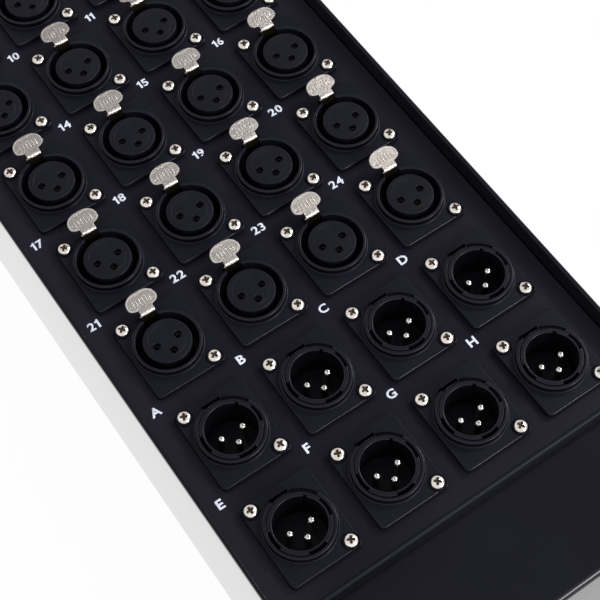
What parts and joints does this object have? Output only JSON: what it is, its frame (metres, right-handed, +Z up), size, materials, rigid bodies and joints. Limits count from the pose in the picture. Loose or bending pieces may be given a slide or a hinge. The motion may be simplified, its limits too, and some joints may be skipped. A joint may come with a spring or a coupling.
{
  "type": "stage box",
  "caption": "Oblong steel stage box with a recessed panel of female inputs with push latches and male returns, and a gland for its multicore cable.",
  "frame": {"origin": "middle of the bottom of the bounding box, the gland included", "axes": "+X across the panel from the first column to the last, +Y from the returns to the first inputs, +Z up out of the panel"},
  "size_m": [0.137, 0.401, 0.063],
  "materials": {
    "tray_paint": "satin black powder coat, lightly textured",
    "panel_paint": "satin blue-black paint, fine grain",
    "socket_black": "satin black moulding",
    "latch_nickel": "satin nickel plate, finely pitted",
    "gland_nickel": "nickel-plated brass, turned",
    "loom_jacket": "matt cable jacket"
  },
  "bodies": {
    "stage_box": {"base_tray": "tray_paint", "connector_panel": "panel_paint", "cable_gland": "gland_nickel", "wiring_loom": "loom_jacket", "input_socket_01": "socket_black", "input_socket_02": "socket_black", "input_socket_03": "socket_black", "input_socket_04": "socket_black", "input_socket_05": "socket_black", "input_socket_06": "socket_black", "input_socket_07": "socket_black", "input_socket_08": "socket_black", "input_socket_09": "socket_black", "input_socket_10": "socket_black", "input_socket_11": "socket_black", "input_socket_12": "socket_black", "input_socket_13": "socket_black", "input_socket_14": "socket_black", "input_socket_15": "socket_black", "input_socket_16": "socket_black", "input_socket_17": "socket_black", "input_socket_18": "socket_black", "input_socket_19": "socket_black", "input_socket_20": "socket_black", "input_socket_21": "socket_black", "input_socket_22": "socket_black", "input_socket_23": "socket_black", "input_socket_24": "socket_black", "return_socket_A": "socket_black", "return_socket_B": "socket_black", "return_socket_C": "socket_black", "return_socket_D": "socket_black", "return_socket_E": "socket_black", "return_socket_F": "socket_black", "return_socket_G": "socket_black", "return_socket_H": "socket_black"},
    "push_tab_01": {"push_tab_01": "latch_nickel"},
    "push_tab_02": {"push_tab_02": "latch_nickel"},
    "push_tab_03": {"push_tab_03": "latch_nickel"},
    "push_tab_04": {"push_tab_04": "latch_nickel"},
    "push_tab_05": {"push_tab_05": "latch_nickel"},
    "push_tab_06": {"push_tab_06": "latch_nickel"},
    "push_tab_07": {"push_tab_07": "latch_nickel"},
    "push_tab_08": {"push_tab_08": "latch_nickel"},
    "push_tab_09": {"push_tab_09": "latch_nickel"},
    "push_tab_10": {"push_tab_10": "latch_nickel"},
    "push_tab_11": {"push_tab_11": "latch_nickel"},
    "push_tab_12": {"push_tab_12": "latch_nickel"},
    "push_tab_13": {"push_tab_13": "latch_nickel"},
    "push_tab_14": {"push_tab_14": "latch_nickel"},
    "push_tab_15": {"push_tab_15": "latch_nickel"},
    "push_tab_16": {"push_tab_16": "latch_nickel"},
    "push_tab_17": {"push_tab_17": "latch_nickel"},
    "push_tab_18": {"push_tab_18": "latch_nickel"},
    "push_tab_19": {"push_tab_19": "latch_nickel"},
    "push_tab_20": {"push_tab_20": "latch_nickel"},
    "push_tab_21": {"push_tab_21": "latch_nickel"},
    "push_tab_22": {"push_tab_22": "latch_nickel"},
    "push_tab_23": {"push_tab_23": "latch_nickel"},
    "push_tab_24": {"push_tab_24": "latch_nickel"}
  },
  "joints": [
    {"name": "push_tab_01_press", "type": "hinge", "parent": "stage_box", "child": "push_tab_01", "pos_m": [-0.0465, 0.12145, 0.05235], "axis": [-1, 0, 0], "range_deg": [0, 10], "stiffness_Nm_per_rad": 0.1},
    {"name": "push_tab_02_press", "type": "hinge", "parent": "stage_box", "child": "push_tab_02", "pos_m": [-0.0155, 0.12145, 0.05235], "axis": [-1, 0, 0], "range_deg": [0, 10], "stiffness_Nm_per_rad": 0.1},
    {"name": "push_tab_03_press", "type": "hinge", "parent": "stage_box", "child": "push_tab_03", "pos_m": [0.0155, 0.12145, 0.05235], "axis": [-1, 0, 0], "range_deg": [0, 10], "stiffness_Nm_per_rad": 0.1},
    {"name": "push_tab_04_press", "type": "hinge", "parent": "stage_box", "child": "push_tab_04", "pos_m": [0.0465, 0.12145, 0.05235], "axis": [-1, 0, 0], "range_deg": [0, 10], "stiffness_Nm_per_rad": 0.1},
    {"name": "push_tab_05_press", "type": "hinge", "parent": "stage_box", "child": "push_tab_05", "pos_m": [-0.0465, 0.08535, 0.05235], "axis": [-1, 0, 0], "range_deg": [0, 10], "stiffness_Nm_per_rad": 0.1},
    {"name": "push_tab_06_press", "type": "hinge", "parent": "stage_box", "child": "push_tab_06", "pos_m": [-0.0155, 0.08535, 0.05235], "axis": [-1, 0, 0], "range_deg": [0, 10], "stiffness_Nm_per_rad": 0.1},
    {"name": "push_tab_07_press", "type": "hinge", "parent": "stage_box", "child": "push_tab_07", "pos_m": [0.0155, 0.08535, 0.05235], "axis": [-1, 0, 0], "range_deg": [0, 10], "stiffness_Nm_per_rad": 0.1},
    {"name": "push_tab_08_press", "type": "hinge", "parent": "stage_box", "child": "push_tab_08", "pos_m": [0.0465, 0.08535, 0.05235], "axis": [-1, 0, 0], "range_deg": [0, 10], "stiffness_Nm_per_rad": 0.1},
    {"name": "push_tab_09_press", "type": "hinge", "parent": "stage_box", "child": "push_tab_09", "pos_m": [-0.0465, 0.04925, 0.05235], "axis": [-1, 0, 0], "range_deg": [0, 10], "stiffness_Nm_per_rad": 0.1},
    {"name": "push_tab_10_press", "type": "hinge", "parent": "stage_box", "child": "push_tab_10", "pos_m": [-0.0155, 0.04925, 0.05235], "axis": [-1, 0, 0], "range_deg": [0, 10], "stiffness_Nm_per_rad": 0.1},
    {"name": "push_tab_11_press", "type": "hinge", "parent": "stage_box", "child": "push_tab_11", "pos_m": [0.0155, 0.04925, 0.05235], "axis": [-1, 0, 0], "range_deg": [0, 10], "stiffness_Nm_per_rad": 0.1},
    {"name": "push_tab_12_press", "type": "hinge", "parent": "stage_box", "child": "push_tab_12", "pos_m": [0.0465, 0.04925, 0.05235], "axis": [-1, 0, 0], "range_deg": [0, 10], "stiffness_Nm_per_rad": 0.1},
    {"name": "push_tab_13_press", "type": "hinge", "parent": "stage_box", "child": "push_tab_13", "pos_m": [-0.0465, 0.01315, 0.05235], "axis": [-1, 0, 0], "range_deg": [0, 10], "stiffness_Nm_per_rad": 0.1},
    {"name": "push_tab_14_press", "type": "hinge", "parent": "stage_box", "child": "push_tab_14", "pos_m": [-0.0155, 0.01315, 0.05235], "axis": [-1, 0, 0], "range_deg": [0, 10], "stiffness_Nm_per_rad": 0.1},
    {"name": "push_tab_15_press", "type": "hinge", "parent": "stage_box", "child": "push_tab_15", "pos_m": [0.0155, 0.01315, 0.05235], "axis": [-1, 0, 0], "range_deg": [0, 10], "stiffness_Nm_per_rad": 0.1},
    {"name": "push_tab_16_press", "type": "hinge", "parent": "stage_box", "child": "push_tab_16", "pos_m": [0.0465, 0.01315, 0.05235], "axis": [-1, 0, 0], "range_deg": [0, 10], "stiffness_Nm_per_rad": 0.1},
    {"name": "push_tab_17_press", "type": "hinge", "parent": "stage_box", "child": "push_tab_17", "pos_m": [-0.0465, -0.02295, 0.05235], "axis": [-1, 0, 0], "range_deg": [0, 10], "stiffness_Nm_per_rad": 0.1},
    {"name": "push_tab_18_press", "type": "hinge", "parent": "stage_box", "child": "push_tab_18", "pos_m": [-0.0155, -0.02295, 0.05235], "axis": [-1, 0, 0], "range_deg": [0, 10], "stiffness_Nm_per_rad": 0.1},
    {"name": "push_tab_19_press", "type": "hinge", "parent": "stage_box", "child": "push_tab_19", "pos_m": [0.0155, -0.02295, 0.05235], "axis": [-1, 0, 0], "range_deg": [0, 10], "stiffness_Nm_per_rad": 0.1},
    {"name": "push_tab_20_press", "type": "hinge", "parent": "stage_box", "child": "push_tab_20", "pos_m": [0.0465, -0.02295, 0.05235], "axis": [-1, 0, 0], "range_deg": [0, 10], "stiffness_Nm_per_rad": 0.1},
    {"name": "push_tab_21_press", "type": "hinge", "parent": "stage_box", "child": "push_tab_21", "pos_m": [-0.0465, -0.05905, 0.05235], "axis": [-1, 0, 0], "range_deg": [0, 10], "stiffness_Nm_per_rad": 0.1},
    {"name": "push_tab_22_press", "type": "hinge", "parent": "stage_box", "child": "push_tab_22", "pos_m": [-0.0155, -0.05905, 0.05235], "axis": [-1, 0, 0], "range_deg": [0, 10], "stiffness_Nm_per_rad": 0.1},
    {"name": "push_tab_23_press", "type": "hinge", "parent": "stage_box", "child": "push_tab_23", "pos_m": [0.0155, -0.05905, 0.05235], "axis": [-1, 0, 0], "range_deg": [0, 10], "stiffness_Nm_per_rad": 0.1},
    {"name": "push_tab_24_press", "type": "hinge", "parent": "stage_box", "child": "push_tab_24", "pos_m": [0.0465, -0.05905, 0.05235], "axis": [-1, 0, 0], "range_deg": [0, 10], "stiffness_Nm_per_rad": 0.1}
  ]
}
